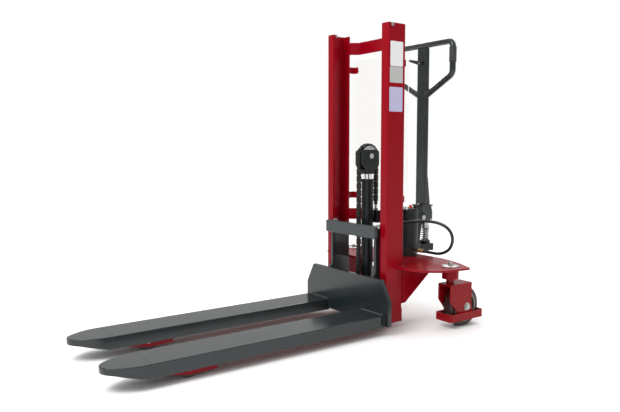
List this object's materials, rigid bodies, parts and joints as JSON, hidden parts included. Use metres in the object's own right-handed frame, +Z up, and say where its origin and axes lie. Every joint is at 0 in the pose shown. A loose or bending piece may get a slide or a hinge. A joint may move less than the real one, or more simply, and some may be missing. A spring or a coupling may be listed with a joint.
{
  "type": "walkie stacker",
  "caption": "Manual hydraulic pallet stacker: red channel mast, grey forks lifted by a chain and ram, hand pump with loop handle, swivel casters.",
  "frame": {"origin": "on the floor under the middle of the machine's outer box", "axes": "+Z up, -Y along the forks towards their tips, +X the machine's right side as seen by someone standing at the handle"},
  "size_m": [0.8228, 1.73, 1.325],
  "materials": {
    "mast_red": "gloss sprayed enamel",
    "caster_red": "gloss sprayed enamel",
    "fork_grey": "satin-gloss powder coat",
    "pump_grey": "satin paint on castings and shell",
    "black_metal": "semi-gloss black",
    "zinc": "zinc plated",
    "rod_chrome": "ground and hard chromed",
    "chain_steel": "oiled dark chain steel",
    "roller_steel": "machined steel",
    "clear_sheet": "clear plastic sheet",
    "grip_rubber": "matt moulded rubber",
    "hose_rubber": "smooth rubber cover",
    "tread": "cast polyurethane",
    "load_nylon": "turned nylon",
    "cap_orange": "moulded plastic",
    "fitting_brass": "turned, passivated",
    "spring_steel": "plated spring wire"
  },
  "bodies": {
    "frame": {"mast_upright_right": "mast_red", "mast_upright_left": "mast_red", "top_crossbeam": "mast_red", "mid_crossbeam": "mast_red", "mast_foot_plate": "mast_red", "base_plate": "mast_red", "gussets": "mast_red", "caster_housings": "mast_red", "caster_caps": "zinc", "support_leg_right": "mast_red", "support_leg_left": "mast_red", "guard_sheet": "clear_sheet", "guard_lugs": "mast_red", "frame_bolts": "zinc", "cylinder_barrel": "pump_grey", "cylinder_gland": "pump_grey", "chain_anchor_bracket": "fork_grey", "pump_foot": "black_metal", "pump_block": "pump_grey", "oil_tank": "pump_grey", "tank_lid": "pump_grey", "filler_cap": "cap_orange", "breather_plug": "black_metal", "hose_fittings": "fitting_brass", "hydraulic_hose": "hose_rubber", "pivot_pin": "zinc", "chain_back": "chain_steel"},
    "carriage": {"fork_right": "fork_grey", "fork_left": "fork_grey", "fork_plate": "fork_grey", "carriage_crossbar": "fork_grey", "carriage_side_right": "fork_grey", "carriage_side_left": "fork_grey", "guide_roller_pins": "zinc", "front_chain_anchor": "fork_grey", "chain_front": "chain_steel"},
    "piston": {"piston_rod": "rod_chrome", "chain_wheel_yoke": "pump_grey", "chain_wheel_pin": "zinc", "chain_wrap": "chain_steel"},
    "chain_wheel": {"chain_wheel": "roller_steel"},
    "guide_lower": {"guide_rollers_lower": "roller_steel"},
    "guide_upper": {"guide_rollers_upper": "roller_steel"},
    "caster_swivel_right": {"caster_fork_right": "caster_red", "caster_axle_right": "zinc"},
    "caster_swivel_left": {"caster_fork_left": "caster_red", "caster_axle_left": "zinc"},
    "caster_wheel_right": {"caster_wheel_right": "tread"},
    "caster_wheel_left": {"caster_wheel_left": "tread"},
    "load_roller_right": {"load_roller_right": "load_nylon"},
    "load_roller_left": {"load_roller_left": "load_nylon"},
    "handle": {"tow_bar": "fork_grey", "handle_loop": "fork_grey", "hand_grips": "grip_rubber", "handle_socket": "pump_grey", "handle_pins": "zinc"},
    "pressure_roller": {"pressure_roller": "roller_steel"},
    "lever": {"control_lever": "black_metal"},
    "plunger": {"pump_plunger": "roller_steel", "plunger_spring": "spring_steel"}
  },
  "joints": [
    {"name": "fork_lift", "type": "slide", "parent": "frame", "child": "carriage", "axis": [0, 0, 1], "range_m": [0, 0.911], "deforming": ["chain_front"]},
    {"name": "piston_rise", "type": "slide", "parent": "frame", "child": "piston", "axis": [0, 0, 1], "range_m": [0, 0.4556], "deforming": ["chain_back"]},
    {"name": "chain_wheel_spin", "type": "hinge", "parent": "piston", "child": "chain_wheel", "pos_m": [0, 0.448, 0.76], "axis": [1, 0, 0], "range_deg": [-507, 0]},
    {"name": "lower_guide_roll", "type": "hinge", "parent": "carriage", "child": "guide_lower", "pos_m": [0, 0.4265, 0.15], "axis": [1, 0, 0], "range_deg": [-1209, 0]},
    {"name": "upper_guide_roll", "type": "hinge", "parent": "carriage", "child": "guide_upper", "pos_m": [0, 0.4265, 0.345], "axis": [1, 0, 0], "range_deg": [0, 1209]},
    {"name": "caster_turn_right", "type": "hinge", "parent": "frame", "child": "caster_swivel_right", "pos_m": [0.334, 0.646, 0.25], "axis": [0, 0, 1], "continuous": true},
    {"name": "caster_roll_right", "type": "hinge", "parent": "caster_swivel_right", "child": "caster_wheel_right", "pos_m": [0.334, 0.718, 0.09], "axis": [1, 0, 0], "continuous": true},
    {"name": "load_roll_right", "type": "hinge", "parent": "frame", "child": "load_roller_right", "pos_m": [0.191, -0.566, 0.036], "axis": [1, 0, 0], "continuous": true},
    {"name": "caster_turn_left", "type": "hinge", "parent": "frame", "child": "caster_swivel_left", "pos_m": [-0.334, 0.646, 0.25], "axis": [0, 0, 1], "continuous": true},
    {"name": "caster_roll_left", "type": "hinge", "parent": "caster_swivel_left", "child": "caster_wheel_left", "pos_m": [-0.334, 0.718, 0.09], "axis": [1, 0, 0], "continuous": true},
    {"name": "load_roll_left", "type": "hinge", "parent": "frame", "child": "load_roller_left", "pos_m": [-0.191, -0.566, 0.036], "axis": [1, 0, 0], "continuous": true},
    {"name": "handle_pump", "type": "hinge", "parent": "frame", "child": "handle", "pos_m": [0, 0.776, 0.458], "axis": [-1, 0, 0], "range_deg": [0, 35], "stiffness_Nm_per_rad": 26, "springref_deg": -11.46},
    {"name": "plunger_stroke", "type": "slide", "parent": "frame", "child": "plunger", "axis": [0, 0, -1], "range_m": [0, 0.038], "deforming": ["plunger_spring"]},
    {"name": "pressure_roller_roll", "type": "hinge", "parent": "handle", "child": "pressure_roller", "pos_m": [0, 0.837, 0.443], "axis": [1, 0, 0], "range_deg": [0, 116]},
    {"name": "lever_tilt", "type": "hinge", "parent": "handle", "child": "lever", "pos_m": [-0.008, 0.785, 1.206], "axis": [0, 1, 0], "range_deg": [-15, 15], "stiffness_Nm_per_rad": 3}
  ],
  "couplings": [
    {"joint": "piston_rise", "follows": "fork_lift", "ratio": 0.5},
    {"joint": "chain_wheel_spin", "follows": "fork_lift", "rad_per_m": -9.7087},
    {"joint": "lower_guide_roll", "follows": "fork_lift", "rad_per_m": -23.148},
    {"joint": "upper_guide_roll", "follows": "fork_lift", "rad_per_m": 23.148},
    {"joint": "plunger_stroke", "follows": "handle_pump", "m_per_rad": 0.062},
    {"joint": "pressure_roller_roll", "follows": "handle_pump", "ratio": 3.3}
  ]
}
